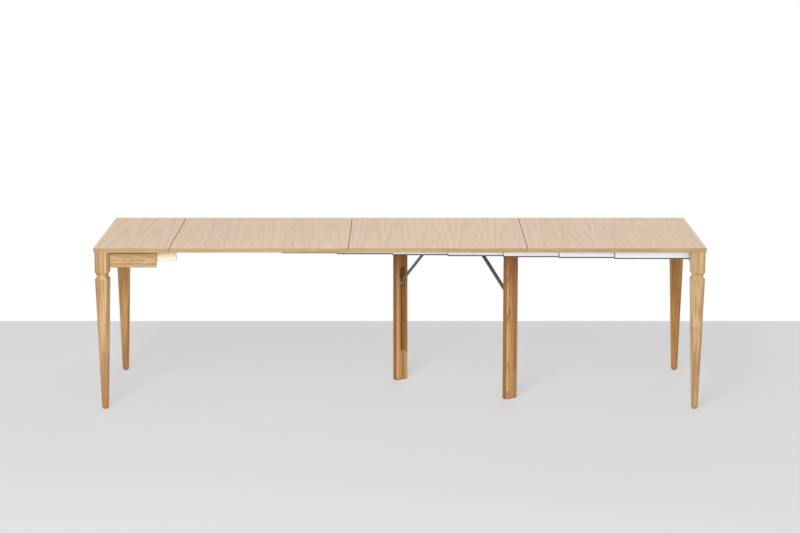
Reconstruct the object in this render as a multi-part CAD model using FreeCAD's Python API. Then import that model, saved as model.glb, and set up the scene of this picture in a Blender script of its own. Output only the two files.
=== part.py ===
"""Extendable console table, drawn out to full length with its three loose leaves laid on.

Millimetres, +Z up. The origin is on the floor under the middle of the tabletop, +X runs along the
table from the fixed end to the end that pulls out, and -Y is the front.
"""
import FreeCAD
import Part
import math
import os
from FreeCAD import Placement, Rotation, Vector

# Tabletop
table_height = 770.0
table_depth = 900.0
top_thickness = 22.0
fixed_top_length = 350.0
leaf_length = 828.4
joint_gap = 1.6
panel_bevel = 1.0

# Corner legs, with a V groove round the neck and a tapered foot
leg_size = 67.0
leg_inset = 3.0
leg_chamfer = 12.0
neck_drop = 134.0
neck_height = 33.0
neck_depth = 9.5
foot_size = 29.5
glide_height = 6.0
glide_inset = 3.5
glide_bevel = 1.5

# Wooden frame of the fixed end
apron_height = 73.0
apron_thickness = 20.0
apron_setback = 14.0
apron_end_setback = 61.0
apron_bevel = 3.0
bearer_height = 48.0
bearer_thickness = 20.0
bearer_overhang = 30.0

# Telescopic rails: bars side by side, each running on a T rib in the slot of its outer neighbour
rail_count = 10
rail_length = 348.0
rail_thickness = 6.7
first_rail_height = 42.0
last_rail_height = 12.4
first_rail_end_setback = 12.0
first_rail_overrun = 1.0
rail_running_gap = 0.3
rail_top_gap = 0.3
strip_seat_depth = 2.0
strip_seat_height = 3.0
rib_neck_height = 3.0
rib_head_height = 6.0
rib_head_thickness = 1.6
slot_lip = 1.4
slot_clearance = 0.25
cross_rail_width = 30.0
cross_rail_height = 12.0
cross_rail_setback = 12.0

# Steel angles that hold the fixed end together
angle_thickness = 3.0
corner_angle_width = 30.0
corner_angle_setback = 7.0
corner_angle_margin = 14.0
rail_angle_width = 30.0
rail_angle_length = 44.0
rail_angle_margin = 2.4
rail_angle_room = 11.0

# Tie across the pull-out end: lips under the end leaf hook into open channels on the first rails
tie_offset = 8.0
tie_width = 42.0
tie_height = 69.0
tie_sheet = 3.0
tie_lip_gap = 4.0
tie_lip_relief = 12.0
tie_web_gap = 20.0
tie_clearance = 1.0
tie_screw_count = 4
tie_screw_inset = 80.0
channel_width = 22.0
channel_wall = 3.0
channel_drop = 10.0
channel_inner_height = 24.0
channel_end_gap = 4.0

# Cleats that locate the leaves between the rails
cleat_length = 160.0
cleat_width = 20.0
cleat_height = 18.0
cleat_bevel = 3.0
cleat_clearance = 2.0

# Folding centre legs under the middle leaf, turned to fold side by side
rear_leg_setback = 240.0
front_leg_setback = 65.0
centre_leg_turn = 45.0
centre_leg_width = 76.0
centre_leg_thickness = 34.0
centre_leg_round = 9.0
fold_clearance = 2.4
hinge_pin_radius = 5.0
hinge_head_room = 2.0
pad_height = 5.0
pad_inset = 2.0
slot_side_room = 4.0
slot_floor_room = 2.5
slot_head_room = 77.0
slot_end_room = 6.0

# Hinge brackets and folding struts
hinge_plate_length = 60.0
hinge_plate_margin = 6.0
hinge_plate_thickness = 4.0
cheek_thickness = 3.5
cheek_gap = 0.5
cheek_width = 28.0
strut_reach = 231.0
roller_drop = 241.0
strut_width = 21.0
strut_thickness = 5.0
strut_eye_radius = 6.5
strut_pin_radius = 3.0
ear_thickness = 2.5
ear_gap = 0.3
ear_radius = 7.0
strut_plate_length = 48.0
strut_plate_thickness = 3.0
roller_radius = 6.0
roller_pin_radius = 3.5
fork_length = 9.0
fork_thickness = 2.5
roller_pin_overhang = 2.7

# Fasteners and fits
pin_fit = 0.05
screw_radius = 2.0
screw_length = 15.0
pan_head_radius = 4.0
pan_head_height = 2.5
flat_head_radius = 4.0
flat_head_height = 2.0
bolt_radius = 3.0
bolt_depth = 32.0
bolt_head_radius = 5.0
bolt_head_height = 4.0
bolt_slot_room = 2.0
bolt_channel_room = 1.0
rail_screw_bite = 5.0
hinge_screw_inset = 8.0
hinge_screw_side = 11.0

# Places worked out from the sizes above
SIDES = {"front": -1, "rear": 1}
LEAVES = ("near", "middle", "end")
UP = Vector(0, 0, 1)
half_length = (fixed_top_length + len(LEAVES) * (leaf_length + joint_gap)) / 2
half_depth = table_depth / 2
underside = table_height - top_thickness
leg_outer = half_depth - leg_inset
leg_inner = leg_outer - leg_size
leg_middle = leg_outer - leg_size / 2
left_leg_face = -half_length + leg_inset + leg_size
right_leg_face = half_length - leg_inset - leg_size
fixed_top_end = -half_length + fixed_top_length
apron_low = underside - apron_height
apron_outer = leg_outer - apron_setback
apron_inner = apron_outer - apron_thickness
end_apron_outer = -half_length + leg_inset + apron_setback
end_apron_inner = end_apron_outer + apron_thickness
rail_top = underside - rail_top_gap
rail_pitch = rail_thickness + rail_running_gap
rail_height_step = (first_rail_height - last_rail_height) / (rail_count - 1)
last_rail_left = end_apron_inner + rail_angle_length + rail_angle_room
first_rail_left = right_leg_face + first_rail_overrun - rail_length
first_rail_right = right_leg_face + leg_size - first_rail_end_setback
stage_step = (first_rail_left - last_rail_left) / (rail_count - 1)
rib_middle = rail_top - last_rail_height / 2
rib_slot_low = rib_middle - rib_head_height / 2 - slot_clearance
upper_bolt_height = rib_slot_low - bolt_slot_room - bolt_head_radius
channel_top = upper_bolt_height - bolt_head_radius - bolt_channel_room
channel_low = rail_top - first_rail_height - channel_drop
channel_floor = channel_low + channel_wall
tie_left = right_leg_face + tie_offset
hinge_drop = centre_leg_thickness / 2 + hinge_plate_thickness + hinge_head_room
hinge_height = underside - hinge_drop
cheek_outer = centre_leg_width / 2 + cheek_gap + cheek_thickness
ear_outer = strut_width / 2 + ear_gap + ear_thickness
roller_outer = strut_width / 2 + roller_pin_overhang
strut_length = math.hypot(strut_reach, roller_drop)
slot_start = roller_drop - roller_radius - slot_head_room
slot_end = strut_reach + strut_length + roller_radius + slot_end_room


def block(x, y, z):
    """Box between the two values given along each axis, in either order."""
    low = Vector(min(x), min(y), min(z))
    return Part.makeBox(abs(x[1] - x[0]), abs(y[1] - y[0]), abs(z[1] - z[0]), low)


def prism_x(outline, x_low, x_high):
    """Outline of (y, z) points drawn out along X."""
    corners = [Vector(x_low, y, z) for y, z in outline]
    face = Part.Face(Part.makePolygon(corners + corners[:1]))
    return face.extrude(Vector(x_high - x_low, 0, 0))


def mirrored(outline, side):
    """Outline given for the rear side, carried to either side of the table."""
    return [(side * y, z) for y, z in outline]


def rod(radius, start, end):
    """Round bar from one point to another."""
    reach = end - start
    return Part.makeCylinder(radius, reach.Length, start, reach)


def cross_rod(radius, half_width):
    """Round bar along the Y axis, centred on the origin."""
    return rod(radius, Vector(0, -half_width, 0), Vector(0, half_width, 0))


def placed(shape, placement):
    """Copy of a shape moved from its own frame by a placement."""
    moved = shape.copy()
    moved.Placement = placement.multiply(moved.Placement)
    return moved


def shifted(shape, x=0.0, y=0.0, z=0.0):
    """Copy of a shape moved without turning it."""
    return placed(shape, Placement(Vector(x, y, z), Rotation()))


def save(name, *shapes):
    """Write every solid in the shapes as one named piece."""
    solids = [solid for shape in shapes for solid in shape.Solids]
    whole = solids[0] if len(solids) == 1 else Part.makeCompound(solids)
    whole.exportStep(f"parts/{name}.step")


def pan_screw(seat, direction, radius, length, head_radius, head_height):
    """Screw with a raised round head on its seat, and the shank along the direction."""
    head = rod(head_radius, seat - direction * head_height, seat)
    return head.fuse(rod(radius, seat, seat + direction * length))


def flat_screw(seat, room=0.0):
    """Countersunk screw driven up from its seat; room widens it into the hole that it needs."""
    head = Part.makeCone(flat_head_radius + room, screw_radius + room, flat_head_height, seat, UP)
    return head.fuse(rod(screw_radius + room, seat, seat + UP * (screw_length + room)))


def bore(seat, direction, radius, length):
    """Blind hole for a pan screw, a fit wider and longer than its shank."""
    return rod(radius + pin_fit, seat - direction * pin_fit, seat + direction * (length + pin_fit))


def panel(x_low, x_high):
    """Tabletop board with eased top and bottom edges."""
    board = block((x_low, x_high), (-half_depth, half_depth), (underside, table_height))
    level = [edge for edge in board.Edges if edge.BoundBox.ZLength < panel_bevel]
    return board.makeChamfer(panel_bevel, level)


def leaf_span(index):
    """Ends in X of one loose leaf, counted from the fixed top."""
    low = fixed_top_end + joint_gap + index * (leaf_length + joint_gap)
    return low, low + leaf_length


def octagon(size, height):
    """Square of a leg with its corners cut off, in proportion to its size."""
    half = size / 2
    flat = half - leg_chamfer * size / leg_size
    corners = [(half, flat), (flat, half), (-flat, half), (-half, flat)]
    corners += [(-x, -y) for x, y in corners]
    points = [Vector(x, y, height) for x, y in corners]
    return Part.makePolygon(points + points[:1])


def corner_leg(x, y, top):
    """Leg with a straight head, a V groove at the neck and a long taper to the foot."""
    neck = table_height - neck_drop
    levels = [(foot_size, glide_height), (leg_size, neck - neck_height / 2),
              (leg_size - 2 * neck_depth, neck), (leg_size, neck + neck_height / 2), (leg_size, top)]
    leg = Part.makeLoft([octagon(size, height) for size, height in levels], True, True)
    return shifted(leg, x, y)


def glide(x, y):
    """Round foot glide under a corner leg."""
    disc = Part.makeCylinder(foot_size / 2 - glide_inset, glide_height)
    rim = [edge for edge in disc.Edges if edge.BoundBox.ZMax < glide_bevel]
    return shifted(disc.makeChamfer(glide_bevel, rim), x, y)


def side_apron(side):
    """Board on edge between the leg and the fixed top's joint, with its lower outside edge eased."""
    outline = [(apron_inner, apron_low), (apron_outer - apron_bevel, apron_low),
               (apron_outer, apron_low + apron_bevel), (apron_outer, underside), (apron_inner, underside)]
    return prism_x(mirrored(outline, side), left_leg_face, fixed_top_end - apron_end_setback)


def bearer(side):
    """Plain board behind a side apron that runs on past the joint, to carry the first leaf."""
    return block((left_leg_face, fixed_top_end + bearer_overhang),
                 (side * (apron_inner - bearer_thickness), side * apron_inner),
                 (underside - bearer_height, underside))


def rail_outer(number):
    """Distance from the centre line to the outer face of a rail; the first is outermost."""
    return leg_inner - (number - 1) * rail_pitch


def rail_inner(number):
    return rail_outer(number) - rail_thickness


def rail_left(number):
    """Left end of a rail with the table drawn out."""
    return last_rail_left + (rail_count - number) * stage_step


def rail_bottom(number):
    return rail_top - first_rail_height + (number - 1) * rail_height_step


def rail_ends(number):
    """Ends of a rail in X: the first runs on beside the leg, the last back to the end apron."""
    if number == 1:
        return rail_left(1), first_rail_right
    if number == rail_count:
        return end_apron_inner, rail_left(number) + rail_length
    return rail_left(number), rail_left(number) + rail_length


def rib_outline(outer):
    """T rib on the outside of a rail, from its lower root to its upper root."""
    neck = rib_neck_height / 2
    head = rib_head_height / 2
    shoulder = outer + rail_running_gap + slot_lip + slot_clearance
    tip = shoulder + rib_head_thickness
    half = [(outer, neck), (shoulder, neck), (shoulder, head), (tip, head)]
    lower = [(y, rib_middle - z) for y, z in half]
    return lower + [(y, rib_middle + z) for y, z in reversed(half)]


def slot_outline(inner):
    """T slot in the inside of a rail, from its upper lip to its lower lip."""
    neck = rib_neck_height / 2 + slot_clearance
    head = rib_head_height / 2 + slot_clearance
    lip = inner + slot_lip
    floor = lip + rib_head_thickness + 2 * slot_clearance
    half = [(inner, neck), (lip, neck), (lip, head), (floor, head)]
    upper = [(y, rib_middle + z) for y, z in half]
    return upper + [(y, rib_middle - z) for y, z in reversed(half)]


def rail(number, side):
    """One bar of the telescopic rail, with a seat for a slide strip along its lower outside edge."""
    outer = rail_outer(number)
    inner = rail_inner(number)
    low = rail_bottom(number)
    seat = outer - strip_seat_depth
    outline = [(inner, low), (seat, low), (seat, low + strip_seat_height), (outer, low + strip_seat_height)]
    if number > 1:
        outline += rib_outline(outer)
    outline += [(outer, rail_top), (inner, rail_top)]
    if number < rail_count:
        outline += slot_outline(inner)
    return prism_x(mirrored(outline, side), *rail_ends(number))


def steel_angle(side, corner, width, length, low, high):
    """Bent angle with one flange on the end apron and one along the piece outside its corner."""
    flange = block((end_apron_inner, end_apron_inner + angle_thickness),
                   (side * (corner - width), side * corner), (low, high))
    wing = block((end_apron_inner, end_apron_inner + length),
                 (side * (corner - angle_thickness), side * corner), (low, high))
    return flange.fuse(wing).removeSplitter()


def corner_angle(side):
    """Angle between the end apron and the inside of a left leg."""
    length = left_leg_face - corner_angle_setback - end_apron_inner
    return steel_angle(side, leg_inner, corner_angle_width, length,
                       apron_low + corner_angle_margin, underside - corner_angle_margin)


def rail_angle(side):
    """Angle between the end apron and the inside of a last rail."""
    return steel_angle(side, rail_inner(rail_count), rail_angle_width, rail_angle_length,
                       rail_bottom(rail_count) + rail_angle_margin, rail_top)


def angle_screws(side):
    """Seat, direction and shank length of the screws that hold one side's steel angles."""
    across = Vector(0, side, 0)
    into_end = Vector(-1, 0, 0)
    face_x = end_apron_inner + angle_thickness
    leg_flat_middle = (end_apron_inner + left_leg_face - leg_chamfer) / 2
    wing_middle = end_apron_inner + (angle_thickness + rail_angle_length) / 2
    corner_y = leg_inner - (angle_thickness + corner_angle_width) / 2
    rail_y = rail_inner(rail_count) - (angle_thickness + rail_angle_width) / 2
    rail_z = (rail_bottom(rail_count) + rail_angle_margin + rail_top) / 2
    sites = []
    for z in (apron_low + 2 * corner_angle_margin, underside - 2 * corner_angle_margin):
        leg_seat = Vector(leg_flat_middle, side * (leg_inner - angle_thickness), z)
        sites.append((Vector(face_x, side * corner_y, z), into_end, screw_length))
        sites.append((leg_seat, across, screw_length))
    rail_seat = Vector(wing_middle, side * (rail_inner(rail_count) - angle_thickness), rail_z)
    sites.append((Vector(face_x, side * rail_y, rail_z), into_end, screw_length))
    sites.append((rail_seat, across, angle_thickness + rail_screw_bite))
    return sites


def build_fixed_end():
    """Fixed top, left legs, aprons, bearers and the last rails with their angles and screws."""
    left_x = left_leg_face - leg_size / 2
    end_apron = block((end_apron_outer, end_apron_inner), (-leg_inner, leg_inner), (apron_low, underside))
    corner_angles = []
    rail_angles = []
    screws = []
    glides = []
    for name, side in SIDES.items():
        sites = angle_screws(side)
        bores = Part.makeCompound([bore(seat, way, screw_radius, length) for seat, way, length in sites])
        screws += [pan_screw(seat, way, screw_radius, length, pan_head_radius, pan_head_height)
                   for seat, way, length in sites]
        save(f"left_{name}_leg", corner_leg(left_x, side * leg_middle, underside).cut(bores))
        save(f"{name}_apron", side_apron(side))
        save(f"{name}_bearer", bearer(side))
        save(f"rail_{rail_count}_{name}", rail(rail_count, side).cut(bores))
        glides.append(glide(left_x, side * leg_middle))
        corner_angles.append(corner_angle(side).cut(bores))
        rail_angles.append(rail_angle(side).cut(bores))
        end_apron = end_apron.cut(bores)
    save("end_apron", end_apron)
    save("corner_angles", *corner_angles)
    save("rail_angles", *rail_angles)
    save("frame_screws", *screws)
    save("left_glides", *glides)
    cross_high = rail_ends(rail_count)[1] - cross_rail_setback
    inner = rail_inner(rail_count)
    save("cross_rail", block((cross_high - cross_rail_width, cross_high), (-inner, inner),
                             (rail_top - cross_rail_height, rail_top)))
    save("fixed_top", panel(-half_length, fixed_top_end))


def build_middle_rails():
    """Rails between the first and the last, one front and one rear bar for each stage."""
    for number in range(2, rail_count):
        for name, side in SIDES.items():
            save(f"rail_{number}_{name}", rail(number, side))


def bolt_sites(side):
    """Seats and lengths of the bolts through a first rail into its leg; the lower pair hold the channel."""
    inner = rail_inner(1)
    lower_bolt_height = (rail_bottom(1) + channel_top) / 2
    columns = (right_leg_face + leg_chamfer + bolt_head_radius,
               first_rail_right - bolt_head_radius - channel_end_gap)
    sites = []
    for x in columns:
        lower_seat = Vector(x, side * (inner - channel_wall), lower_bolt_height)
        sites.append((lower_seat, channel_wall + rail_thickness + bolt_depth))
        sites.append((Vector(x, side * inner, upper_bolt_height), rail_thickness + bolt_depth))
    return sites


def hook_channel(side):
    """Open-topped channel on the inside of a first rail, for one lip of the tie."""
    outer = rail_inner(1)
    inner = outer - channel_width
    outline = [(outer, channel_low), (outer, channel_top), (outer - channel_wall, channel_top),
               (outer - channel_wall, channel_floor), (inner + channel_wall, channel_floor),
               (inner + channel_wall, channel_low + channel_inner_height),
               (inner, channel_low + channel_inner_height), (inner, channel_low)]
    x_low = first_rail_left + rail_length + channel_end_gap
    return prism_x(mirrored(outline, side), x_low, first_rail_right)


def build_pull_out_end():
    """Right legs with the first rails bolted to them, hook channels and glides."""
    right_x = right_leg_face + leg_size / 2
    channels = []
    bolts = []
    glides = []
    for name, side in SIDES.items():
        way = Vector(0, side, 0)
        sites = bolt_sites(side)
        bores = Part.makeCompound([bore(seat, way, bolt_radius, length) for seat, length in sites])
        bolts += [pan_screw(seat, way, bolt_radius, length, bolt_head_radius, bolt_head_height)
                  for seat, length in sites]
        save(f"right_{name}_leg", corner_leg(right_x, side * leg_middle, rail_top).cut(bores))
        save(f"rail_1_{name}", rail(1, side).cut(bores))
        glides.append(glide(right_x, side * leg_middle))
        channels.append(hook_channel(side).cut(bores))
    save("hook_channels", *channels)
    save("rail_bolts", *bolts)
    save("right_glides", *glides)


def free_middle(number):
    """Middle in X of the stretch of a rail that its inner neighbour leaves free."""
    return rail_left(number) + rail_length - stage_step / 2


def cleat_pair(span):
    """Two cleats under a leaf, inside the rails whose free stretch lies nearest the leaf's middle."""
    number = min(range(2, rail_count), key=lambda stage: abs(free_middle(stage) - sum(span) / 2))
    outer = rail_inner(number) - cleat_clearance
    inner = outer - cleat_width
    low = underside - cleat_height
    outline = [(inner, underside), (inner, low + cleat_bevel), (inner + cleat_bevel, low),
               (outer - cleat_bevel, low), (outer, low + cleat_bevel), (outer, underside)]
    ends = free_middle(number) - cleat_length / 2, free_middle(number) + cleat_length / 2
    return [prism_x(mirrored(outline, side), *ends) for side in SIDES.values()]


def tie_lip_faces():
    """Distances from the centre line to the inner and outer faces of the tie's lips."""
    inner = rail_inner(1) - channel_width + channel_wall + tie_clearance
    return inner, inner + tie_sheet


def tie_screw_seats():
    """Seats of the screws through the tie's flange into the end leaf, evenly spaced."""
    reach = tie_lip_faces()[1] - tie_screw_inset
    pitch = 2 * reach / (tie_screw_count - 1)
    x = tie_left + tie_width / 2
    return [Vector(x, row * pitch - reach, underside - tie_sheet) for row in range(tie_screw_count)]


def end_tie():
    """Folded sheet across the table: flange under the leaf, deep web, and a lip at each end."""
    lip_inner, lip_outer = tie_lip_faces()
    web_end = rail_inner(1) - channel_width - tie_web_gap
    span = tie_left, tie_left + tie_width
    tie = block(span, (-lip_outer, lip_outer), (underside - tie_sheet, underside))
    web = block((tie_left, tie_left + tie_sheet), (-web_end, web_end), (underside - tie_height, underside))
    tie = tie.fuse(web)
    for side in SIDES.values():
        lip = block((tie_left + tie_lip_relief, tie_left + tie_width), (side * lip_inner, side * lip_outer),
                    (channel_floor + tie_lip_gap, underside))
        tie = tie.fuse(lip)
    return tie.removeSplitter()


def build_end_leaf(span):
    """End leaf with the tie screwed under it."""
    tie = end_tie()
    top = panel(*span)
    for seat in tie_screw_seats():
        hole = flat_screw(seat, pin_fit)
        tie = tie.cut(hole)
        top = top.cut(hole)
    save("end_leaf_top", top)
    save("end_tie", tie)
    save("tie_screws", *[flat_screw(seat) for seat in tie_screw_seats()])


def leg_frames(span):
    """Frame of each centre leg at its hinge: X the way it folds, Y along the hinge pin."""
    rear_x = span[0] + rear_leg_setback
    front_x = span[1] - front_leg_setback
    turn = math.radians(centre_leg_turn)
    fold_spacing = centre_leg_width / 2 + cheek_outer + fold_clearance
    y = ((front_x - rear_x) * math.sin(turn) - fold_spacing) / (2 * math.cos(turn))
    return {"rear": Placement(Vector(rear_x, y, hinge_height), Rotation(UP, -centre_leg_turn)),
            "front": Placement(Vector(front_x, -y, hinge_height), Rotation(UP, 180 - centre_leg_turn))}


def rounded_bar(length, width, round_radius, z_low, z_high):
    """Upright bar with rounded edges, centred on its own axis."""
    bar = block((-length / 2, length / 2), (-width / 2, width / 2), (z_low, z_high))
    upright = [edge for edge in bar.Edges if edge.BoundBox.ZLength > (z_high - z_low) / 2]
    return bar.makeFillet(round_radius, upright)


def rounded_end(radius, half_width, high):
    """Plate on edge with a half-round lower end about the Y axis, up to a height."""
    plate = block((-radius, radius), (-half_width, half_width), (0, high))
    return cross_rod(radius, half_width).fuse(plate).removeSplitter()


def pin_bore(radius, half_width):
    """Hole along the Y axis for a pin, right through a piece and a little beyond."""
    return cross_rod(radius + pin_fit, half_width + radius)


def centre_leg():
    """Flat folding leg: half-round head on the hinge pin, and a blind slot for the strut's roller."""
    low = pad_height - hinge_height
    half = centre_leg_thickness / 2
    half_width = centre_leg_width / 2
    bar = rounded_bar(centre_leg_thickness, centre_leg_width, centre_leg_round, low, half)
    upside_down = Placement(Vector(), Rotation(Vector(0, 1, 0), 180))
    leg = bar.common(placed(rounded_end(half, half_width, -low), upside_down))
    slot_half = roller_outer + slot_side_room
    slot_floor = -strut_eye_radius - slot_floor_room
    slot = block((slot_floor, half), (-slot_half, slot_half), (-slot_end, -slot_start))
    return leg.cut(slot).cut(pin_bore(hinge_pin_radius, half_width))


def foot_pad():
    """Pad under a centre leg, a little smaller than its end."""
    return rounded_bar(centre_leg_thickness - 2 * pad_inset, centre_leg_width - 2 * pad_inset,
                       centre_leg_round - pad_inset, -hinge_height, pad_height - hinge_height)


def hinge_screw_seats():
    """Seats of the four screws in a hinge bracket, in the leg's frame."""
    along = hinge_plate_length / 2 - hinge_screw_inset
    across = centre_leg_width / 2 - hinge_screw_side
    low = hinge_drop - hinge_plate_thickness
    return [Vector(x, y, low) for x in (-along, along) for y in (-across, across)]


def hinge_bracket():
    """Plate under the leaf with two cheeks that carry the hinge pin."""
    half_length_of_plate = hinge_plate_length / 2
    half_width = cheek_outer + hinge_plate_margin
    bracket = block((-half_length_of_plate, half_length_of_plate), (-half_width, half_width),
                    (hinge_drop - hinge_plate_thickness, hinge_drop))
    cheek = rounded_end(cheek_width / 2, cheek_thickness / 2, hinge_drop)
    for side in SIDES.values():
        bracket = bracket.fuse(shifted(cheek, y=side * (cheek_outer - cheek_thickness / 2)))
    return bracket.removeSplitter().cut(pin_bore(hinge_pin_radius, half_width))


def strut_screw_seats():
    """Seats of the two screws in a strut bracket, in the strut's own frame."""
    reach = (strut_plate_length / 2 + strut_eye_radius) / 2
    return [Vector(x, 0, hinge_drop - strut_plate_thickness) for x in (-reach, reach)]


def strut_bracket():
    """Small plate under the leaf with two ears that carry the strut's upper pin."""
    bracket = block((-strut_plate_length / 2, strut_plate_length / 2), (-ear_outer, ear_outer),
                    (hinge_drop - strut_plate_thickness, hinge_drop))
    ear = rounded_end(ear_radius, ear_thickness / 2, hinge_drop)
    for side in SIDES.values():
        bracket = bracket.fuse(shifted(ear, y=side * (ear_outer - ear_thickness / 2)))
    return bracket.removeSplitter().cut(pin_bore(strut_pin_radius, ear_outer))


def strut():
    """Flat bar along X with an eye for the upper pin at the origin and a fork round the roller."""
    half = strut_width / 2
    half_thickness = strut_thickness / 2
    bar = block((0, strut_length - fork_length), (-half, half), (-half_thickness, half_thickness))
    bar = bar.fuse(cross_rod(strut_eye_radius, half))
    half_tine = fork_thickness / 2
    tine = block((-fork_length, 0), (-half_tine, half_tine), (-half_thickness, half_thickness))
    tine = tine.fuse(cross_rod(strut_eye_radius, half_tine)).removeSplitter()
    for side in SIDES.values():
        bar = bar.fuse(shifted(tine, strut_length, side * (half - half_tine)))
    lower_hole = shifted(pin_bore(roller_pin_radius, half), x=strut_length)
    return bar.removeSplitter().cut(pin_bore(strut_pin_radius, half)).cut(lower_hole)


def roller():
    """Roller in the strut's fork, with a pin that reaches out on both sides to run in the slot."""
    pin = cross_rod(roller_pin_radius, roller_outer)
    barrel = cross_rod(roller_radius, strut_width / 2 - fork_thickness - ear_gap)
    return shifted(pin.fuse(barrel).removeSplitter(), x=strut_length)


def build_middle_leaf(span):
    """Middle leaf with its two folding legs, their hinges and their struts."""
    top = panel(*span)
    hinge_plates = []
    strut_plates = []
    hinge_pins = []
    strut_pins = []
    screws = []
    strut_turn = Rotation(Vector(0, 1, 0), 180 - math.degrees(math.atan2(roller_drop, strut_reach)))
    for name, hinge_frame in leg_frames(span).items():
        strut_frame = hinge_frame.multiply(Placement(Vector(strut_reach, 0, 0), Rotation()))
        bar_frame = strut_frame.multiply(Placement(Vector(), strut_turn))
        seats = [hinge_frame.multVec(seat) for seat in hinge_screw_seats()]
        seats += [strut_frame.multVec(seat) for seat in strut_screw_seats()]
        holes = Part.makeCompound([flat_screw(seat, pin_fit) for seat in seats])
        top = top.cut(holes)
        screws += [flat_screw(seat) for seat in seats]
        hinge_plates.append(placed(hinge_bracket(), hinge_frame).cut(holes))
        strut_plates.append(placed(strut_bracket(), strut_frame).cut(holes))
        hinge_pins.append(placed(cross_rod(hinge_pin_radius, cheek_outer), hinge_frame))
        strut_pins.append(placed(cross_rod(strut_pin_radius, ear_outer), strut_frame))
        save(f"{name}_centre_leg", placed(centre_leg(), hinge_frame))
        save(f"{name}_foot_pad", placed(foot_pad(), hinge_frame))
        save(f"{name}_strut", placed(strut(), bar_frame))
        save(f"{name}_roller", placed(roller(), bar_frame))
    save("middle_leaf_top", top)
    save("hinge_brackets", *hinge_plates)
    save("strut_brackets", *strut_plates)
    save("hinge_pins", *hinge_pins)
    save("strut_pins", *strut_pins)
    save("bracket_screws", *screws)


def build_leaves():
    """Three loose leaves with their cleats and what is fixed under them."""
    spans = {name: leaf_span(index) for index, name in enumerate(LEAVES)}
    for name, span in spans.items():
        save(f"{name}_leaf_cleats", *cleat_pair(span))
    save("near_leaf_top", panel(*spans["near"]))
    build_middle_leaf(spans["middle"])
    build_end_leaf(spans["end"])


os.makedirs("parts", exist_ok=True)
build_fixed_end()
build_middle_rails()
build_pull_out_end()
build_leaves()
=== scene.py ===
"""Looks of the extendable console table: its finishes, the rails' trim, fixings, floor, light and camera.

Metres, in the frame of the solids: +X along the table to the end that pulls out, -Y the front, +Z up.
"""
import math
import bpy
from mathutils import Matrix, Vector


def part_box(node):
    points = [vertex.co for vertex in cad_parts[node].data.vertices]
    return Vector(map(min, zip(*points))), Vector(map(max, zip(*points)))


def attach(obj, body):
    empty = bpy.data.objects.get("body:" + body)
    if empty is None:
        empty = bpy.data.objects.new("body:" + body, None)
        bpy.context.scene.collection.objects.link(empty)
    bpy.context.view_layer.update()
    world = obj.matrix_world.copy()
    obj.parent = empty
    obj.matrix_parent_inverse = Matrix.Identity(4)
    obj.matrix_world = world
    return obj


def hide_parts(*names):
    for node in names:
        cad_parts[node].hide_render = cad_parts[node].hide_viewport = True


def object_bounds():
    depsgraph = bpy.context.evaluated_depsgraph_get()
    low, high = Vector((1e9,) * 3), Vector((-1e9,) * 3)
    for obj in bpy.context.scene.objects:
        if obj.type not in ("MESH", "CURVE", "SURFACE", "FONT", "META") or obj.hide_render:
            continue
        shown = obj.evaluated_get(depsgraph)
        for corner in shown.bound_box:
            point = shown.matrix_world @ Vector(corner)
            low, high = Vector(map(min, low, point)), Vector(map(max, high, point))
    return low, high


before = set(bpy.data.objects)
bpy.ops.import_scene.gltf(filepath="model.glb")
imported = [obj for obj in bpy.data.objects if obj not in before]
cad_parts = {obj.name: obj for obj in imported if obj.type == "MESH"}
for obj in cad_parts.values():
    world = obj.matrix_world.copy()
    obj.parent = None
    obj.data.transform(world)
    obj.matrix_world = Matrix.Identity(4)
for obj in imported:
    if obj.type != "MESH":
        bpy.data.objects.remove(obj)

solid_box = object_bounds()

RAIL_COUNT = 10
SIDES = ("front", "rear")
LEAVES = ("near", "middle", "end")
UP = (0.0, 0.0, 1.0)
MM = 0.001
STAGE_SIZE = 60.0

# Camera at the photograph's angle; focal length and picture width are in pixels
CAMERA_PLACE = (0.0, -11.08, 2.59)
CAMERA_PITCH = math.radians(10.17)
CAMERA_FOCAL = 2330.6
CAMERA_REACH = 200.0
PICTURE_WIDTH = 800.0
SENSOR_WIDTH = 36.0


def shown(red, green, blue):
    """Linear colour for the 0 to 255 values that a surface should show in plain light."""
    def straight(value):
        share = value / 255
        return share / 12.92 if share <= 0.04045 else ((share + 0.055) / 1.055) ** 2.4
    return straight(red), straight(green), straight(blue), 1.0


def deeper(colour, share):
    """Colour darkened to a share of its light."""
    return tuple(share * value for value in colour[:3]) + (1.0,)


WHITE = (1.0, 1.0, 1.0, 1.0)
LIGHT_OAK = shown(188, 156, 112)
DARK_OAK = shown(156, 120, 77)

# Tones of oak between which its light wood turns to its dark wood, and how clear its single rings are
TONE_LOW = 0.41
TONE_HIGH = 0.59
RING_CLEARNESS = 0.35


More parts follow.
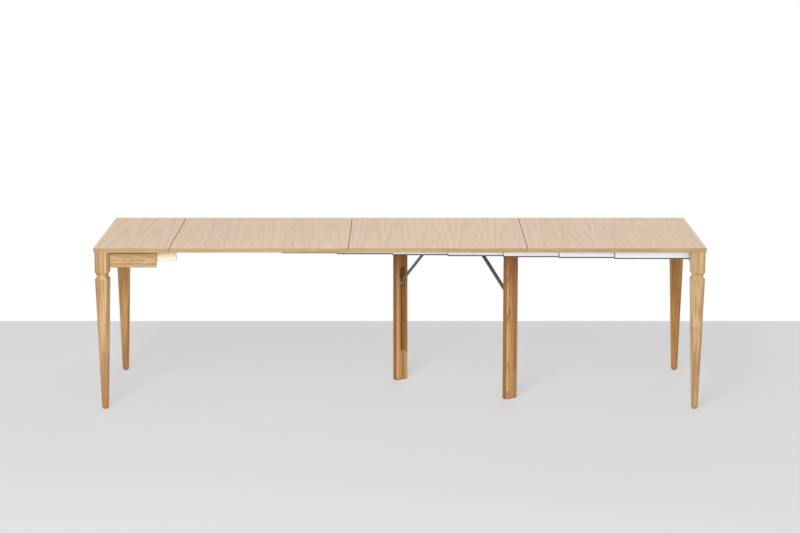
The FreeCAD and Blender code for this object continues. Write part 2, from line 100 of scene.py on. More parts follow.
class Wire:
    """A socket in a node tree. Arithmetic on numbers adds Math nodes, and node() adds any other kind."""

    def __init__(self, tree, socket=None):
        self.tree = tree
        self.socket = socket

    def node(self, kind, inputs=None, output=0, **settings):
        """Add a node, with its settings first and then its sockets' values or wires; gives one output."""
        made = self.tree.nodes.new(kind)
        for name, value in settings.items():
            setattr(made, name, value)
        for name, value in (inputs or {}).items():
            if isinstance(value, Wire):
                self.tree.links.new(value.socket, made.inputs[name])
            else:
                made.inputs[name].default_value = value
        return Wire(self.tree, made.outputs[output] if made.outputs else None)

    def out(self, output):
        """Another output of the same node."""
        return Wire(self.tree, self.socket.node.outputs[output])

    def feed(self, socket):
        """Link this wire to an input that is already there."""
        self.tree.links.new(self.socket, socket)

    def math(self, operation, *others):
        """Result of a Math node's operation on this number and any others."""
        return self.node("ShaderNodeMath", dict(enumerate((self,) + others)), operation=operation)

    def __add__(self, other):
        return self.math("ADD", other)

    __radd__ = __add__

    def __sub__(self, other):
        return self.math("SUBTRACT", other)

    def __rsub__(self, other):
        return self.node("ShaderNodeMath", {0: other, 1: self}, operation="SUBTRACT")

    def __mul__(self, other):
        return self.math("MULTIPLY", other)

    __rmul__ = __mul__

    def __truediv__(self, other):
        return self.math("DIVIDE", other)


def mixed(factor, first, second):
    """Colour between two colours."""
    return factor.node("ShaderNodeMix", {0: factor, 6: first, 7: second}, output=2, data_type="RGBA")


def faded(value, low, high):
    """Smooth step from 0 at the low value to 1 at the high one."""
    return value.node("ShaderNodeMapRange", {0: value, 1: low, 2: high}, interpolation_type="SMOOTHSTEP")


def cloud(place, scales, seed, detail=2.0):
    """Noise with its own scale along each axis, in features a metre."""
    moved = place.node("ShaderNodeMapping",
                       {"Vector": place, "Scale": scales, "Location": (seed, 2 * seed, -seed)})
    return place.node("ShaderNodeTexNoise", {"Vector": moved, "Scale": 1.0, "Detail": detail})


def growth(rings, pitch, seed, detail=2.0):
    """Uneven light and dark bands of about the given width, along a distance from the pith."""
    return rings.node("ShaderNodeTexNoise", {"W": rings / pitch + seed, "Scale": 1.0, "Detail": detail},
                      noise_dimensions="1D")


def chance(index, seed):
    """Fixed random number from 0 to 1 for a whole number."""
    return index.node("ShaderNodeTexWhiteNoise", {"W": index * 1.7 + seed}, noise_dimensions="1D")


def new_finish(name, **constants):
    """Material with its shader's constant sockets set; gives it, its shader and a wire of object places."""
    material = bpy.data.materials.new(name)
    material.use_nodes = True
    shader = material.node_tree.nodes["Principled BSDF"]
    for socket, value in constants.items():
        shader.inputs[socket.replace("_", " ")].default_value = value
    place = Wire(material.node_tree).node("ShaderNodeTexCoord", output="Object")
    return material, shader, place


def axes(place):
    """Wires of the three coordinates of a place."""
    first = place.node("ShaderNodeSeparateXYZ", {0: place})
    return first, first.out("Y"), first.out("Z")


def own_frame(place, centre, turn):
    """Place in a board's own frame, about its centre and with its grain along Z."""
    return place.node("ShaderNodeMapping", {"Vector": place, "Location": centre, "Rotation": turn},
                      vector_type="TEXTURE")


def from_pith(a, b, pith_a, pith_b):
    """Distance from a pith line along a board."""
    far_a = a - pith_a
    far_b = b - pith_b
    return (far_a * far_a + far_b * far_b).math("SQRT")


def waves(board, seed):
    """Slow wander of the rings along a board."""
    ring_wave = 12.0 * MM
    return ring_wave * (cloud(board, (14.0, 14.0, 1.1), seed) - 0.5)


def middle(node):
    """Centre of a solid's box."""
    low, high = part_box(node)
    return (low + high) / 2


def raise_surface(shader, height, strength, depth):
    """Bump from a height."""
    bump = height.node("ShaderNodeBump", {"Height": height, "Strength": strength, "Distance": depth})
    bump.feed(shader.inputs["Normal"])


def oak_veneer(place, x, y, left, strip, seed):
    """Colour, fibre and pores of crown-cut veneer in strips across a board, the grain from front to back."""
    pith_depth = 45.0 * MM
    depth_wave = 30.0 * MM
    ring_wave = 12.0 * MM
    crown_width = 18.0 * MM
    ring_width = 2.6 * MM
    across = x - left
    index = (across / strip).math("FLOOR")
    mirror = 1 - 2 * index.math("FLOORED_MODULO", 2.0)
    luck = chance(index, seed)
    local = (across - (index + 0.5) * strip) * mirror + (luck - 0.5) * (0.5 * strip)
    wander = cloud(place, (5.0, 1.3, 1.0), seed, 1.5) - 0.5
    slope = 0.03 + 0.04 * luck
    below = pith_depth + slope * y + depth_wave * wander
    rings = (local * local + below * below).math("SQRT") + ring_wave * wander
    crowns = growth(rings, crown_width, seed)
    single = growth(rings, ring_width, seed + 3.0, 1.0)
    fibre = cloud(place, (520.0, 9.0, 1.0), seed + 1.0, 3.0)
    pores = faded(cloud(place, (900.0, 26.0, 1.0), seed, 2.0), 0.57, 0.73) * faded(single, 0.4, 0.62)
    broad = cloud(place, (3.4, 1.1, 1.0), seed + 3.0)
    streaks = cloud(place, (110.0, 2.2, 1.0), seed + 9.0, 2.0)
    veneer = mixed(faded(luck * 0.2 + broad * 0.8, 0.35, 0.65), shown(226, 194, 173), shown(225, 201, 165))
    veneer = mixed(faded(crowns, 0.40, 0.64) * 0.65, veneer, shown(207, 177, 150))
    veneer = mixed(faded(single, 0.5, 0.75) * 0.25, veneer, shown(197, 164, 132))
    veneer = mixed(faded(streaks, 0.42, 0.7) * 0.5, veneer, shown(232, 209, 179))
    veneer = mixed(faded(fibre, 0.35, 0.65) * 0.25, veneer, shown(229, 206, 176))
    return mixed(pores * 0.5, veneer, shown(172, 138, 108)), fibre, pores


def oak_band(place, x, seed):
    """Colour of a board's banded edges, with a painted highlight on the arrises and dark ends where two
    boards meet, and its rise.

    The rise is 1 where a face is level and 0 where it is upright.
    """
    end_margin = 10.0 * MM
    outer_end = solid_box[1][0] - end_margin
    slanted = 0.3
    streak = cloud(place, (12.0, 12.0, 420.0), seed + 5.0, 3.0)
    patch = cloud(place, (3.0, 3.0, 60.0), seed + 7.0)
    band = mixed(faded(streak * 0.6 + patch * 0.4, 0.36, 0.64), shown(183, 152, 112), shown(164, 130, 89))
    facing = axes(place.out("Normal"))
    rise = facing[2].math("ABSOLUTE")
    endwise = facing[0].math("ABSOLUTE").math("GREATER_THAN", slanted)
    inner = endwise * x.math("ABSOLUTE").math("LESS_THAN", outer_end)
    # Painted highlight: the slanted arris faces are lightened.
    band = mixed(rise.math("GREATER_THAN", slanted), band, shown(214, 188, 145))
    return mixed(inner, band, shown(118, 74, 42)), rise


def oak_top(name, left, strip, seed):
    """Board with oak veneer on its level faces and banded edges."""
    level = 0.9
    material, shader, place = new_finish(name, Specular_IOR_Level=0.3)
    x, y, _ = axes(place)
    veneer, fibre, pores = oak_veneer(place, x, y, left, strip, seed)
    band, rise = oak_band(place, x, seed)
    mixed(rise.math("GREATER_THAN", level), band, veneer).feed(shader.inputs["Base Color"])
    (0.46 + 0.14 * pores + 0.08 * fibre).feed(shader.inputs["Roughness"])
    raise_surface(shader, 0.2 * fibre - pores, 0.12, 0.3 * MM)
    return material


def oak_figure(board, rings, seed, ring_width=2.4 * MM):
    """Tone, single rings, streaks and pores of oak in a board's own frame, from its rings' places."""
    band_width = 11.0 * MM
    streak = cloud(board, (165.0, 165.0, 1.6), seed + 2.0, 3.0)
    patch = cloud(board, (20.0, 20.0, 1.4), seed + 4.0)
    tone = growth(rings, band_width, seed) * 0.36 + streak * 0.52 + patch * 0.12
    single = faded(growth(rings, ring_width, seed + 2.0, 1.0), 0.5, 0.72)
    pores = faded(cloud(board, (950.0, 950.0, 24.0), seed + 6.0), 0.57, 0.74)
    return tone, single, streak, pores


def oil_oak(shader, wood, clearness, dark, single, streak, pores):
    """Oiled oak surface: dark rings and pores over the wood's colour, a soft gloss and an open grain."""
    wood = mixed(single * clearness, wood, deeper(dark, 0.85))
    wood = mixed(pores * 0.35, wood, deeper(dark, 0.6))
    wood.feed(shader.inputs["Base Color"])
    (0.42 + 0.14 * pores + 0.06 * streak).feed(shader.inputs["Roughness"])
    raise_surface(shader, 0.25 * streak - pores, 0.14, 0.3 * MM)


def leg_oak(node, pith, seed, light, dark, foot_share):
    """Corner leg cut from one upright piece, a little warmer towards its foot."""
    ring_lean = 0.004
    foot_start = 100.0 * MM
    foot_full = -400.0 * MM
    material, shader, place = new_finish(f"oak_{node}", Specular_IOR_Level=0.35)
    board = own_frame(place, middle(node), (0.0, 0.0, 0.0))
    a, b, along = axes(board)
    rings = from_pith(a, b, *pith) + waves(board, seed) + ring_lean * along
    tone, *grain = oak_figure(board, rings, seed)
    wood = mixed(faded(tone, TONE_LOW, TONE_HIGH), light, dark)
    wood = mixed(faded(along, foot_start, foot_full) * foot_share, wood, shown(160, 115, 68))
    oil_oak(shader, wood, RING_CLEARNESS, dark, *grain)
    return material


def apron_oak(node, turn, pith, seed, ring_lean):
    """Flat-sawn apron, with painted shade as dark bands along its top under the table top and at its ends
    against the legs.
    """
    top_shade_depth = 7.5 * MM
    end_shade_width = 4.0 * MM
    material, shader, place = new_finish(f"oak_{node}", Specular_IOR_Level=0.35)
    board = own_frame(place, middle(node), turn)
    a, b, along = axes(board)
    rings = from_pith(a, b, *pith) + waves(board, seed) + ring_lean * along
    tone, *grain = oak_figure(board, rings, seed)
    wood = mixed(faded(tone, TONE_LOW, TONE_HIGH), LIGHT_OAK, DARK_OAK)
    low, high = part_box(node)
    x, y, z = axes(place)
    # Painted shade: dark brown bands where the table top and the legs would shade the apron.
    if node == "end_apron":
        ends = y.math("ABSOLUTE").math("GREATER_THAN", high.y - end_shade_width)
    else:
        ends = x.math("LESS_THAN", low.x + end_shade_width)
    painted_shade = z.math("GREATER_THAN", high.z - top_shade_depth).math("MAXIMUM", ends)
    oil_oak(shader, mixed(painted_shade, wood, shown(122, 72, 30)), RING_CLEARNESS, DARK_OAK, *grain)
    return material


def centre_leg_oak(node, seed, stave, glue_line, figured):
    """Glued staves, with a butt joint low in those past a glue line, and painted shade: the head is darker
    under the top and the narrow faces are darker too.

    A figured leg has arched rings in the stave before that line. The slot's faces are painted a lighter warm
    orange, a painted bounce light.
    """
    light = shown(201, 156, 101)
    dark = shown(155, 107, 57)
    ring_width = 3.6 * MM if figured else 2.4 * MM
    ring_lean = 0.006
    arch_lean = 0.05
    arch_pith = (2.0 * MM, -24.0 * MM)
    butt_joint = -237.0 * MM
    narrow_face = 37.0 * MM
    head_shade_start = 60.0 * MM
    head_shade_full = 330.0 * MM
    head_shade_share = 0.62 if figured else 0.98
    slot_width = 34.0 * MM
    slot_depth = 32.8 * MM
    material, shader, place = new_finish(f"oak_{node}", Specular_IOR_Level=0.35)
    board = own_frame(place, middle(node), (0.0, 0.0, -math.pi / 4))
    a, b, along = axes(board)
    index = ((b - glue_line) / stave).math("FLOOR")
    past = b.math("GREATER_THAN", glue_line)
    # Painted shade: the narrow faces are darkened, as a side turned from the light.
    shaded_narrow_faces = b.math("ABSOLUTE").math("GREATER_THAN", narrow_face)
    joined = past * along.math("LESS_THAN", butt_joint)
    luck = chance(index * 3 + joined, seed)
    wander = waves(board, seed)
    pith_a = 0.06 - 0.05 * luck
    pith_b = 0.02 - 0.03 * luck
    rings = from_pith(a, b, pith_a, pith_b) + wander + ring_lean * along
    clearness = RING_CLEARNESS
    shade = 0.22 * (luck - 0.5) - 0.06 - 0.2 * joined + 0.22 * shaded_narrow_faces
    if figured:
        before = 1 - past
        arched = from_pith(a, b, *arch_pith) + wander + arch_lean * along
        rings = rings + before * (arched - rings)
        clearness = RING_CLEARNESS + 0.35 * before
        shade = 0.07 * past - 0.06 * joined - 0.05 + 0.15 * shaded_narrow_faces
    tone, *grain = oak_figure(board, rings, seed, ring_width)
    wood = mixed(faded(tone + shade, TONE_LOW, TONE_HIGH), light, dark)
    # Painted shade: the narrow faces darker still, and darker, redder wood towards the head, where the top
    # shades the leg.
    wood = mixed(shaded_narrow_faces * 0.4, wood, deeper(dark, 0.55))
    wood = mixed(faded(along, head_shade_start, head_shade_full) * head_shade_share, wood, shown(146, 82, 20))
    # Painted light: the slot's faces are lightened to warm orange, as light bounced into them.
    painted_slot_light = (b.math("ABSOLUTE").math("LESS_THAN", slot_width / 2)
              * a.math("ABSOLUTE").math("LESS_THAN", slot_depth / 2))
    wood = mixed(painted_slot_light * 0.85, wood, shown(220, 144, 72))
    oil_oak(shader, wood, clearness, dark, *grain)
    return material


def planed_softwood(name):
    """Pale planed softwood along X, with wide soft rings."""
    ring_wave = 10.0 * MM
    ring_width = 6.0 * MM
    material, shader, place = new_finish(name, Specular_IOR_Level=0.3)
    _, y, z = axes(place)
    rings = z * 0.8 + y * 0.6 + ring_wave * cloud(place, (2.0, 14.0, 14.0), 4.0)
    bands = growth(rings, ring_width, 5.0, 1.0)
    fibre = cloud(place, (6.0, 420.0, 420.0), 6.0, 3.0)
    wood = mixed(faded(bands, 0.42, 0.66) * 0.7, shown(226, 217, 192), shown(217, 204, 171))
    wood = mixed(faded(fibre, 0.45, 0.7) * 0.3, wood, shown(212, 196, 160))
    wood.feed(shader.inputs["Base Color"])
    (0.5 + 0.12 * fibre).feed(shader.inputs["Roughness"])
    raise_surface(shader, fibre, 0.12, 0.3 * MM)
    return material


def satin_aluminium(name, shade_band_top=None):
    """Anodised extrusion: pale grey with fine die lines along the bar, and painted shade in dark grey below a
    given height.
    """
    material, shader, place = new_finish(name, Metallic=0.6)
    lines = cloud(place, (2.0, 700.0, 700.0), 4.0, 3.0)
    patch = cloud(place, (6.0, 20.0, 20.0), 8.0)
    metal = mixed(patch * 0.6 + lines * 0.4, shown(233, 237, 243), shown(222, 226, 232))
    # Painted shade: the rail's lowest few millimetres are painted dark grey.
    if shade_band_top:
        height = axes(place)[2]
        metal = mixed(height.math("LESS_THAN", shade_band_top) * 0.95, metal, shown(90, 90, 93))
    metal.feed(shader.inputs["Base Color"])
    (0.36 + 0.16 * lines).feed(shader.inputs["Roughness"])
    raise_surface(shader, lines, 0.1, 0.2 * MM)
    return material


def plated_steel(name, metal=1.0):
    """Zinc plated pressings and fasteners, with a faint spangle."""
    material, shader, place = new_finish(name, Metallic=metal)
    spangle = place.node("ShaderNodeTexVoronoi", {"Vector": place, "Scale": 260.0}, output="Distance")
    grain = cloud(place, (90.0, 90.0, 90.0), 2.0, 4.0)
    tone = spangle * 0.5 + grain * 0.5
    mixed(tone, shown(206, 209, 213), shown(174, 178, 184)).feed(shader.inputs["Base Color"])
    (0.28 + 0.2 * grain).feed(shader.inputs["Roughness"])
    raise_surface(shader, grain, 0.08, 0.2 * MM)
    return material


def grey_coat(name):
    """Mid grey powder coat with a fine orange-peel surface."""
    material, shader, place = new_finish(name, Specular_IOR_Level=0.5)
    peel = cloud(place, (1500.0, 1500.0, 1500.0), 1.0)
    patch = cloud(place, (25.0, 25.0, 25.0), 6.0)
    mixed(patch, shown(106, 110, 114), shown(89, 93, 96)).feed(shader.inputs["Base Color"])
    (0.36 + 0.16 * peel).feed(shader.inputs["Roughness"])
    raise_surface(shader, peel, 0.12, 0.2 * MM)
    return material


def moulded_plastic(name, light, dark):
    """Matt moulded plastic with a fine etched grain."""
    material, shader, place = new_finish(name, Specular_IOR_Level=0.4)
    etch = cloud(place, (1100.0, 1100.0, 1100.0), 3.0, 3.0)
    patch = cloud(place, (40.0, 40.0, 40.0), 5.0)
    mixed(patch, light, dark).feed(shader.inputs["Base Color"])
    (0.48 + 0.2 * etch).feed(shader.inputs["Roughness"])
    raise_surface(shader, etch, 0.15, 0.2 * MM)
    return material


def dress(material, *nodes):
    """Give solids a finish."""
    for node in nodes:
        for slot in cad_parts[node].material_slots:
            slot.material = material


def dress_tops():
    """Veneered boards: five strips to a leaf and two to the short fixed top."""
    strips = {"fixed_top": 2, "near_leaf_top": 5, "middle_leaf_top": 5, "end_leaf_top": 5}
    for number, (node, count) in enumerate(strips.items()):
        low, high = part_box(node)
        strip = (high.x - low.x) / count
        seed = 11.0 + 5.3 * number
        dress(oak_top(f"oak_{node}", low.x, strip, seed), node)


def dress_wood():
    """Legs and aprons, each cut from its own piece of oak, and the softwood bearers and cleats; the rear legs
    have painted shade.
    """
    # Painted shade: the rear legs' colours are darker and warmer, as if in the table top's shade.
    legs = {
        "left_front_leg": (shown(196, 163, 118), shown(164, 126, 81), 1.0),
        "left_rear_leg": (shown(203, 161, 105), shown(166, 121, 67), 0.5),
        "right_front_leg": (shown(203, 170, 128), shown(169, 131, 88), 0.5),
        "right_rear_leg": (shown(204, 151, 85), shown(163, 108, 48), 0.5),
    }
    for number, (node, (light, dark, foot_share)) in enumerate(legs.items()):
        pith = (0.05 - 0.03 * number, 0.09)
        seed = 3.1 * number + 1.0
        dress(leg_oak(node, pith, seed, light, dark, foot_share), node)
    along_x = (0.0, math.pi / 2, 0.0)
    along_y = (math.pi / 2, 0.0, 0.0)
    aprons = {
        "front_apron": {"turn": along_x, "pith": (0.004, 0.03), "seed": 7.0, "ring_lean": 0.08},
        "rear_apron": {"turn": along_x, "pith": (0.004, 0.03), "seed": 8.0, "ring_lean": 0.08},
        "end_apron": {"turn": along_y, "pith": (0.03, 0.006), "seed": 12.0, "ring_lean": 0.05},
    }
    for node, board in aprons.items():
        dress(apron_oak(node, **board), node)
    centre_legs = {
        "rear_centre_leg": {"seed": 15.0, "stave": 25.4 * MM, "glue_line": 12.7 * MM, "figured": False},
        "front_centre_leg": {"seed": 17.7, "stave": 31.6 * MM, "glue_line": -6.4 * MM, "figured": True},
    }
    for node, staves in centre_legs.items():
        dress(centre_leg_oak(node, **staves), node)
    cleats = [f"{leaf}_leaf_cleats" for leaf in LEAVES]
    dress(planed_softwood("planed_softwood"), "front_bearer", "rear_bearer", *cleats)


def dress_hardware(finishes):
    """Rails, pressings, fasteners, struts and feet."""
    # Height of the painted shade along the bottom of each rail
    shade_band_height = 6.0 * MM
    for number in range(1, RAIL_COUNT + 1):
        pair = [f"rail_{number}_{side}" for side in SIDES]
        dress(satin_aluminium(f"satin_rail_{number}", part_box(pair[0])[0].z + shade_band_height), *pair)
    dress(finishes["aluminium"], "cross_rail", "end_tie", "hook_channels")
    dress(finishes["zinc"], "corner_angles", "rail_angles", "hinge_brackets", "hinge_pins", "strut_brackets",
          "strut_pins", "frame_screws", "rail_bolts", "tie_screws", "bracket_screws")
    dress(finishes["bright_zinc"], "rear_roller", "front_roller")
    dress(finishes["grey_coat"], "rear_strut", "front_strut")
    dress(finishes["brown_plastic"], "left_glides", "right_glides", "rear_foot_pad", "front_foot_pad")


def new_tree(name, numbers):
    """Empty geometry tree with named number inputs and a finish; gives it and a wire of its inputs."""
    tree = bpy.data.node_groups.new(name, "GeometryNodeTree")
    tree.interface.new_socket("Geometry", in_out="INPUT", socket_type="NodeSocketGeometry")
    for number in numbers:
        tree.interface.new_socket(number, in_out="INPUT", socket_type="NodeSocketFloat")
    tree.interface.new_socket("Finish", in_out="INPUT", socket_type="NodeSocketMaterial")
    tree.interface.new_socket("Geometry", in_out="OUTPUT", socket_type="NodeSocketGeometry")
    return tree, Wire(tree).node("NodeGroupInput")


def close_tree(given, instance):
    """End of a geometry tree: one copy on each point, turned its way, made real and given its finish."""
    way = given.node("GeometryNodeInputNamedAttribute", {"Name": "way"}, data_type="FLOAT_VECTOR")
    turn = given.node("FunctionNodeAlignRotationToVector", {"Vector": way}, axis="Z")
    copies = given.node("GeometryNodeInstanceOnPoints",
                        {"Points": given, "Instance": instance, "Rotation": turn})
    real = given.node("GeometryNodeRealizeInstances", {"Geometry": copies})
    faceted = given.node("GeometryNodeSetShadeSmooth", {"Geometry": real, "Shade Smooth": False})
    coated = given.node("GeometryNodeSetMaterial", {"Geometry": faceted, "Material": given.out("Finish")})
    given.node("NodeGroupOutput", {"Geometry": coated})


def cylinder(given, sides, radius, depth):
    """Upright cylinder about the origin."""
    return given.node("GeometryNodeMeshCylinder", {"Vertices": sides, "Radius": radius, "Depth": depth})


def cut(given, solid, cutter):
    """Solid with the shape of a cutter taken out."""
    return given.node("GeometryNodeMeshBoolean", {"Mesh 1": solid, "Mesh 2": cutter}, operation="DIFFERENCE")


def bar_tree():
    """Bars with rounded edges along X, that start at the points."""
    round_steps = 3
    tree, given = new_tree("rounded_bars", ("Length", "Width", "Height", "Round"))
    end = given.node("ShaderNodeCombineXYZ", {"X": given.out("Length")})
    line = given.node("GeometryNodeCurvePrimitiveLine", {"End": end})
    upright = given.node("GeometryNodeSetCurveNormal", {"Curve": line}, mode="Z_UP")
    outline = given.node("GeometryNodeCurvePrimitiveQuadrilateral",
                         {"Width": given.out("Width"), "Height": given.out("Height")})
    eased = given.node("GeometryNodeFilletCurve",
                       {"Curve": outline, "Radius": given.out("Round"), "Count": round_steps}, mode="POLY")
    bar = given.node("GeometryNodeCurveToMesh", {"Curve": upright, "Profile Curve": eased, "Fill Caps": True})
    close_tree(given, bar)
    return tree


def fastener_tree(name, sides):
    """Fasteners with their heads at the points: a socket with the given sides, or a cross if that is 0."""
    head_sides = 24
    shank_sides = 16
    tree, given = new_tree(name, ("Face", "Seat", "Head", "Shank", "Length", "Socket", "Depth"))
    head = given.node("GeometryNodeMeshCone", {"Vertices": head_sides, "Radius Bottom": given.out("Face"),
                                               "Radius Top": given.out("Seat"), "Depth": given.out("Head")})
    twice = 2 * given.out("Depth")
    if sides:
        cutters = [cylinder(given, sides, given.out("Socket"), twice)]
    else:
        long = 2 * given.out("Socket")
        slim = 0.5 * given.out("Socket")
        sizes = [given.node("ShaderNodeCombineXYZ", {"X": a, "Y": b, "Z": twice}) for a, b in
                 ((long, slim), (slim, long))]
        cutters = [given.node("GeometryNodeMeshCube", {"Size": size}) for size in sizes]
    for cutter in cutters:
        head = cut(given, head, cutter)
    shank = cylinder(given, shank_sides, given.out("Shank"), given.out("Length"))
    rise = given.node("ShaderNodeCombineXYZ", {"Z": given.out("Head") + 0.5 * given.out("Length")})
    shank = given.node("GeometryNodeTransform", {"Geometry": shank, "Translation": rise})
    both = given.node("GeometryNodeJoinGeometry", {"Geometry": head})
    shank.feed(both.socket.node.inputs["Geometry"])
    close_tree(given, both)
    return tree


def collar_tree():
    """Bored collars, each centred on its point."""
    sides = 32
    tree, given = new_tree("bored_collars", ("Outside", "Bore", "Thickness"))
    disc = cylinder(given, sides, given.out("Outside"), given.out("Thickness"))
    bore = cylinder(given, sides, given.out("Bore"), 2 * given.out("Thickness"))
    close_tree(given, cut(given, disc, bore))
    return tree


def grow(name, tree, points, body, slot, ways=None, **inputs):
    """Piece that a geometry tree makes on some points, as a plain mesh that rides on a body."""
    carrier = bpy.data.objects.new(f"{name}_points", bpy.data.meshes.new(f"{name}_points"))
    carrier.data.from_pydata(points, [], [])
    marks = carrier.data.attributes.new("way", "FLOAT_VECTOR", "POINT")
    for mark, way in zip(marks.data, ways or [UP] * len(points)):
        mark.vector = way
    bpy.context.scene.collection.objects.link(carrier)
    modifier = carrier.modifiers.new("grow", "NODES")
    modifier.node_group = tree
    for item in tree.interface.items_tree:
        if item.name in inputs:
            modifier[item.identifier] = inputs[item.name]
    made = bpy.data.meshes.new_from_object(carrier.evaluated_get(bpy.context.evaluated_depsgraph_get()))
    bpy.data.objects.remove(carrier)
    piece = bpy.data.objects.new(name, made)
    bpy.context.scene.collection.objects.link(piece)
    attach(piece, body)
    return piece


def rail_body(number):
    """Body that carries a rail."""
    ends = {1: "pull_out_end", RAIL_COUNT: "console_frame"}
    return ends.get(number, f"rail_stage_{number}")


def trim_rails(finishes):
    """Dark slide strips along the rails' lower outside edges, and caps on their ends."""
    bars = bar_tree()
    strip_width = 1.9 * MM
    strip_height = 2.9 * MM
    strip_round = 0.3 * MM
    cap_thickness = 3.0 * MM
    cap_margin = 0.3 * MM
    cap_round = 0.8 * MM
    cap_overlap = 2.5 * MM
    # The first rail is the outermost and has no rib, so its box is as thick as the bar of any rail
    inner, outer = [corner.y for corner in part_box("rail_1_rear")]
    rail_thickness = outer - inner
    cap_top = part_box(f"rail_{RAIL_COUNT}_rear")[0].z + cap_overlap
    for number in range(1, RAIL_COUNT + 1):
        low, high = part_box(f"rail_{number}_rear")
        outside = low.y + rail_thickness
        strip_y = outside - strip_width / 2
        strip_points = [(low.x, side * strip_y, low.z + strip_height / 2) for side in (-1, 1)]
        grow(f"slide_strips_{number}", bars, strip_points, rail_body(number), "dark_plastic",
             Length=high.x - low.x, Width=strip_width, Height=strip_height, Round=strip_round,
             Finish=finishes["grey_plastic"])
        cap_height = cap_top - low.z - cap_margin
        cap_y = (low.y + outside) / 2
        cap_z = cap_top - cap_height / 2
        starts = [low.x - cap_thickness] if number < RAIL_COUNT else []
        if number > 1:
            starts.append(high.x)
        cap_points = [(x, side * cap_y, cap_z) for x in starts for side in (-1, 1)]
        grow(f"rail_caps_{number}", bars, cap_points, rail_body(number), "dark_plastic",
             Length=cap_thickness, Width=rail_thickness - 2 * cap_margin, Height=cap_height, Round=cap_round,
             Finish=finishes["grey_plastic"])


def loose_solids(mesh):
    """Corners of each separate solid in a mesh of loose triangles, matched on a fine grid."""
    grid = 0.001 * MM
    group = {}

    def root(key):
        while group.setdefault(key, key) != key:
            key = group[key]
        return key

    keys = [tuple(round(value / grid) for value in vertex.co) for vertex in mesh.vertices]
    for face in mesh.polygons:
        first = root(keys[face.vertices[0]])
        for index in face.vertices[1:]:
            group[root(keys[index])] = first
    members = {}
    for key in set(keys):
        members.setdefault(root(key), []).append(Vector(key) * grid)
    return members.values()


def fasteners(node):
    """Head end, way into the work, length and head radius of each fastener in a solid."""
    rim = 0.97
    length_digits = 5
    found = []
    for corners in loose_solids(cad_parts[node].data):
        low = Vector(min(corner[axis] for corner in corners) for axis in range(3))
        high = Vector(max(corner[axis] for corner in corners) for axis in range(3))
        size = high - low
        axis = max(range(3), key=lambda number: size[number])
        others = [number for number in range(3) if number != axis]
        centre = (low + high) / 2
        radius = (sum(size) - size[axis]) / 4
        head = [corner[axis] for corner in corners
                if math.sqrt(sum((corner[other] - centre[other]) ** 2 for other in others)) > rim * radius]
        side = -1 if sum(head) / len(head) < centre[axis] else 1
        end = centre.copy()
        end[axis] += side * size[axis] / 2
        way = Vector((0, 0, 0))
        way[axis] = -side
        length = round(size[axis], length_digits)
        found.append({"end": end, "way": way, "length": length, "radius": radius})
    return found


def detail_fasteners(finishes):
    """Fasteners with cut sockets in place of the plain ones, and the screws that hold the cleats.

    The face, seat and shank of a plain fastener's twin are shares of its head's radius.
    """
    crossed = fastener_tree("crossed_screws", 0)
    hexed = fastener_tree("hex_bolts", 6)
    pan_screw = {"tree": crossed, "head": 2.5 * MM, "face": 0.9, "seat": 1.0, "shank": 0.5}
    flat_screw = {"tree": crossed, "head": 2.0 * MM, "face": 1.0, "seat": 0.5, "shank": 0.5}
    bolt = {"tree": hexed, "head": 4.0 * MM, "face": 0.9, "seat": 1.0, "shank": 0.6}
    socket_share = 0.55
    depth_share = 0.55
    plans = {
        "frame_screws": ("console_frame", pan_screw),
        "tie_screws": ("end_leaf", flat_screw),
        "bracket_screws": ("middle_leaf", flat_screw),
        "rail_bolts": ("pull_out_end", bolt),
    }
    for node, (body, kind) in plans.items():
        found = fasteners(node)
        radius = found[0]["radius"]
        head = kind["head"]
        for length in sorted({item["length"] for item in found}):
            some = [item for item in found if item["length"] == length]
            piece = grow(f"{node}_{round(length / MM)}", kind["tree"], [item["end"] for item in some], body,
                         "zinc_steel", ways=[item["way"] for item in some], Face=radius * kind["face"],
                         Seat=radius * kind["seat"], Head=head, Shank=radius * kind["shank"],
                         Length=length - head, Socket=socket_share * radius, Depth=depth_share * head,
                         Finish=finishes["zinc"])
            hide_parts(node)
    inset = 40.0 * MM
    across = 10.0 * MM
    cleat_screw = {"Face": 3.4 * MM, "Seat": 4.0 * MM, "Head": 2.0 * MM, "Shank": 2.0 * MM,
                   "Length": 16.0 * MM, "Socket": 2.2 * MM, "Depth": 1.2 * MM}
    for leaf in LEAVES:
        low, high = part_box(f"{leaf}_leaf_cleats")
        points = [(x, y, low.z - cleat_screw["Head"]) for x in (low.x + inset, high.x - inset)
                  for y in (low.y + across, high.y - across)]
        grow(f"cleat_screws_{leaf}", crossed, points, f"{leaf}_leaf", "zinc_steel",
             Finish=finishes["zinc"], **cleat_screw)


def collar_rollers(finishes):
    """Collars on both ends of each roller's pin, outside the strut's fork."""
    collars = collar_tree()
    strut_width = 21.0 * MM
    gap = 0.15 * MM
    thickness = 6.0 * MM
    outside = 6.2 * MM
    bore = 3.55 * MM
    across = Vector((1.0, 1.0, 0.0)).normalized()
    reach = (strut_width + thickness) / 2 + gap
    for side in SIDES:
        points = [middle(f"{side}_roller") + sign * reach * across for sign in (-1, 1)]
        grow(f"roller_collars_{side}", collars, points, f"{side}_strut_unit", "zinc_steel",
             ways=[across, across], Outside=outside, Bore=bore, Thickness=thickness,
             Finish=finishes["bright_zinc"])


def seen_rays(wire):
    """1 for the rays that show a surface to the camera, straight or in a reflection."""
    path = wire.node("ShaderNodeLightPath", output="Is Camera Ray")
    return path.math("MAXIMUM", path.out("Is Glossy Ray")).math("MAXIMUM", path.out("Is Transmission Ray"))


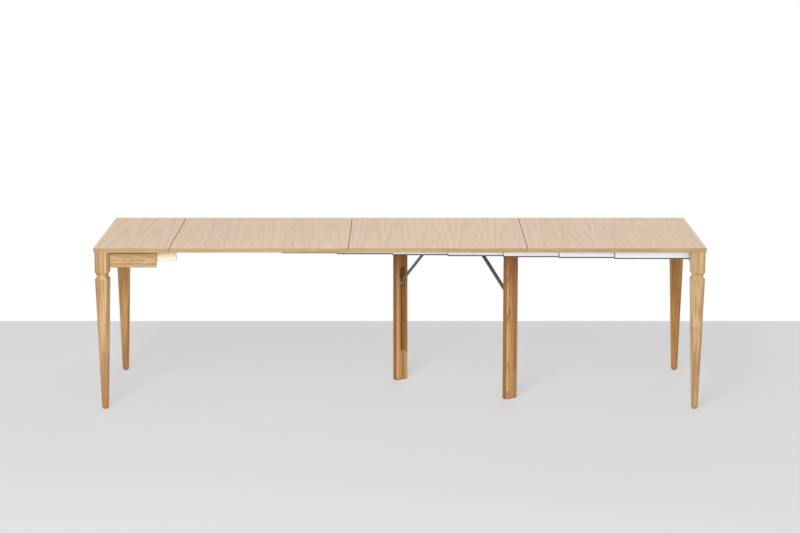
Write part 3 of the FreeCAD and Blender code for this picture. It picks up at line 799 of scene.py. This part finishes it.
def stage_plane(name, corners, material):
    """Flat piece of the stage."""
    mesh = bpy.data.meshes.new(name)
    mesh.from_pydata(corners, [], [(0, 1, 2, 3)])
    mesh.materials.append(material)
    plane = bpy.data.objects.new(name, mesh)
    bpy.context.scene.collection.objects.link(plane)


def set_floor(size):
    """Pale floor that keeps a light shadow and turns white far away."""
    pale = shown(222, 222, 222)
    near = 4.0
    away = 16.0
    even_share = 0.6
    material, shader, place = new_finish("pale_floor", Roughness=0.75, Specular_IOR_Level=0.2)
    shader.inputs["Base Color"].default_value = pale
    x, y, _ = axes(place)
    far = faded((x * x + y * y).math("SQRT"), near, away)
    plain = place.node("ShaderNodeEmission", {"Color": mixed(far, pale, WHITE)})
    surface = Wire(material.node_tree, shader.outputs[0])
    share = (even_share + (1 - even_share) * far) * seen_rays(place)
    both = place.node("ShaderNodeMixShader", {0: share, 1: surface, 2: plain})
    both.feed(material.node_tree.nodes["Material Output"].inputs["Surface"])
    corners = [(-size, -size, 0), (size, -size, 0), (size, size, 0), (-size, size, 0)]
    stage_plane("floor", corners, material)


def set_wall(size):
    """White wall behind the table, which shows from its front only and lets light through."""
    wall = 1.64
    material, _, place = new_finish("white_wall")
    front = 1 - place.node("ShaderNodeNewGeometry", output="Backfacing")
    clear = place.node("ShaderNodeBsdfTransparent")
    glow = place.node("ShaderNodeEmission", {"Color": WHITE})
    both = place.node("ShaderNodeMixShader", {0: front * seen_rays(place), 1: clear, 2: glow})
    both.feed(material.node_tree.nodes["Material Output"].inputs["Surface"])
    corners = [(-size, wall, 0), (size, wall, 0), (size, wall, size), (-size, wall, size)]
    stage_plane("wall", corners, material)


def softbox(name, place, aim, width, depth, power, mirrored=True):
    """Rectangular soft light aimed at a height over the origin, seen or not in glossy surfaces."""
    light = bpy.data.lights.new(name, "AREA")
    light.shape = "RECTANGLE"
    light.size = width
    light.size_y = depth
    light.energy = power
    lamp = bpy.data.objects.new(name, light)
    lamp.location = place
    lamp.visible_glossy = mirrored
    way = Vector((0.0, 0.0, aim)) - Vector(place)
    lamp.rotation_euler = way.to_track_quat("-Z", "Y").to_euler()
    bpy.context.scene.collection.objects.link(lamp)


def set_light():
    """White surroundings, a tall soft key in front and a little to the left, and weaker lights all round."""
    ambient = 0.29
    world = bpy.data.worlds.new("white_studio")
    world.use_nodes = True
    bpy.context.scene.world = world
    around = Wire(world.node_tree)
    dim = around.node("ShaderNodeBackground", {"Color": WHITE, "Strength": ambient})
    full = around.node("ShaderNodeBackground", {"Color": WHITE, "Strength": 1.0})
    both = around.node("ShaderNodeMixShader", {0: seen_rays(around), 1: dim, 2: full})
    both.feed(world.node_tree.nodes["World Output"].inputs["Surface"])
    softbox("key", (-2.0, -8.4, 4.6), aim=0.4, width=3.0, depth=6.0, power=765.0)
    softbox("fill", (2.5, -8.0, 1.6), aim=0.5, width=5.0, depth=2.0, power=50.0)
    softbox("overhead", (0.0, 0.0, 5.5), aim=0.5, width=6.0, depth=3.0, power=20.0)
    softbox("rear", (2.0, 8.4, 3.6), aim=0.4, width=6.0, depth=4.0, power=280.0, mirrored=False)
    for name, x in (("left_end", -9.0), ("right_end", 9.0)):
        softbox(name, (x, 0.5, 3.0), aim=0.4, width=4.0, depth=3.0, power=110.0, mirrored=False)


def set_camera():
    """Camera of the main view."""
    camera = bpy.data.cameras.new("photograph")
    camera.sensor_width = SENSOR_WIDTH
    camera.lens = CAMERA_FOCAL / PICTURE_WIDTH * SENSOR_WIDTH
    camera.clip_end = CAMERA_REACH
    place = bpy.data.objects.new("photograph", camera)
    place.location = CAMERA_PLACE
    place.rotation_euler = (math.pi / 2 - CAMERA_PITCH, 0.0, 0.0)
    bpy.context.scene.collection.objects.link(place)
    bpy.context.scene.camera = place


finishes = {
    "aluminium": satin_aluminium("satin_aluminium"),
    "zinc": plated_steel("zinc_plate"),
    "bright_zinc": plated_steel("bright_zinc", 0.3),
    "grey_coat": grey_coat("mid_grey_coat"),
    "brown_plastic": moulded_plastic("brown_plastic", shown(150, 112, 74), shown(128, 94, 60)),
    "grey_plastic": moulded_plastic("grey_plastic", shown(66, 66, 68), shown(52, 53, 55)),
}
dress_tops()
dress_wood()
dress_hardware(finishes)
trim_rails(finishes)
detail_fasteners(finishes)
collar_rollers(finishes)
set_floor(STAGE_SIZE)
set_wall(STAGE_SIZE)
set_light()
set_camera()
bpy.context.scene.view_settings.view_transform = "Standard"
